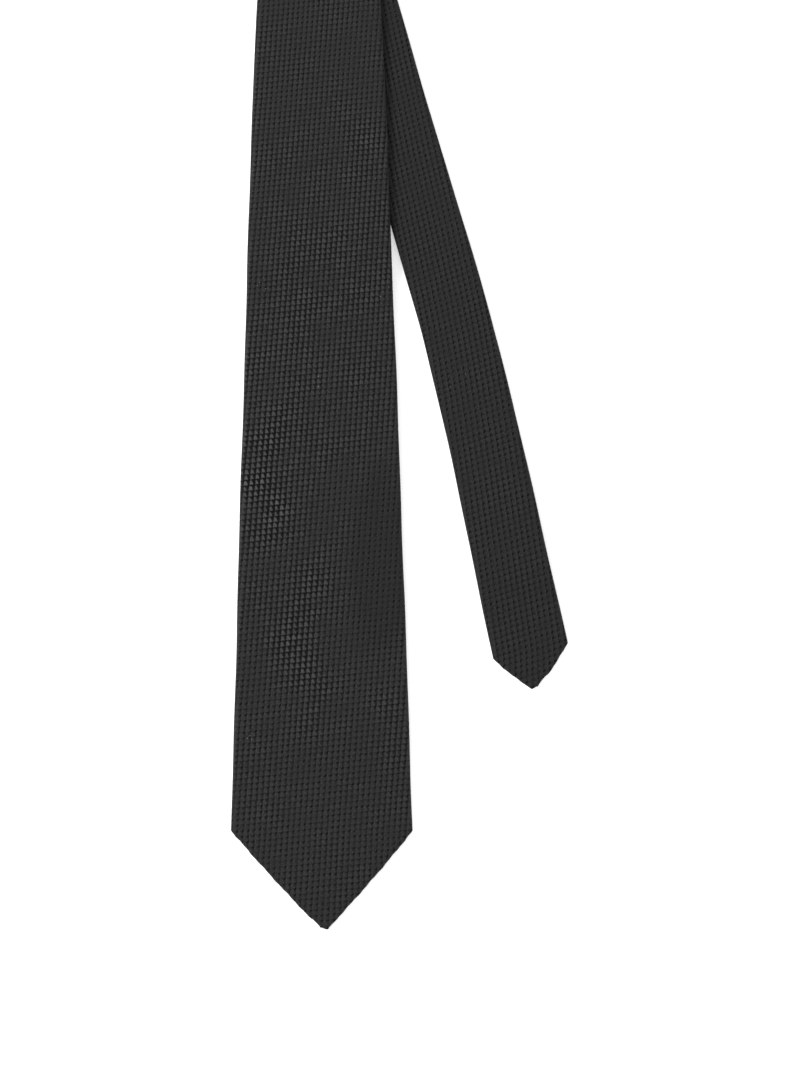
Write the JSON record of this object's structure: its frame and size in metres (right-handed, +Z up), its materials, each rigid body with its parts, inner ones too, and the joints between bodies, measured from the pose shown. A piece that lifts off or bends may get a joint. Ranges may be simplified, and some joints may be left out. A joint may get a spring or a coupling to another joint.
{
  "type": "necktie",
  "caption": "Necktie draped with its broad blade over its slim tail, pointed ends, an open neck loop, and a keeper band behind the blade.",
  "frame": {"origin": "on the table, under the middle of the draped tie", "axes": "+Y from the points towards the neck loop, +X to the right seen from above, +Z up from the table"},
  "size_m": [0.2042, 0.7398, 0.0313],
  "materials": {
    "tie_cloth": "satin",
    "interlining": "matte",
    "tipping_lining": "satin",
    "thread": "matte",
    "label_cloth": "satin"
  },
  "bodies": {
    "neck": {"neck_shell": "tie_cloth", "neck_interlining": "interlining", "neck_slip_stitch": "thread", "blade_seam_stitch": "thread", "tail_seam_stitch": "thread"},
    "blade": {"blade_shell": "tie_cloth", "keeper_loop": "tie_cloth", "blade_interlining": "interlining", "blade_tipping": "tipping_lining", "blade_slip_stitch": "thread", "blade_hem_stitch_left": "thread", "blade_hem_stitch_right": "thread", "blade_bar_tack": "thread", "label_stitch_left": "thread", "label_stitch_right": "thread", "keeper_tack_left": "thread", "keeper_tack_right": "thread", "spare_thread_loop": "thread", "woven_label": "label_cloth", "care_tag": "label_cloth"},
    "tail": {"tail_shell": "tie_cloth", "tail_interlining": "interlining", "tail_tipping": "tipping_lining", "tail_slip_stitch": "thread", "tail_hem_stitch_left": "thread", "tail_hem_stitch_right": "thread", "tail_bar_tack": "thread"}
  },
  "joints": [
    {"name": "blade_lift", "type": "hinge", "parent": "neck", "child": "blade", "pos_m": [0.00327, 0.19536, 0.0086], "axis": [-0.978, 0.2087, 0], "range_deg": [0, 90]},
    {"name": "tail_swing", "type": "hinge", "parent": "neck", "child": "tail", "pos_m": [-0.0298, 0.19598, 0.00195], "axis": [0, 0, 1], "range_deg": [0, 20]}
  ]
}
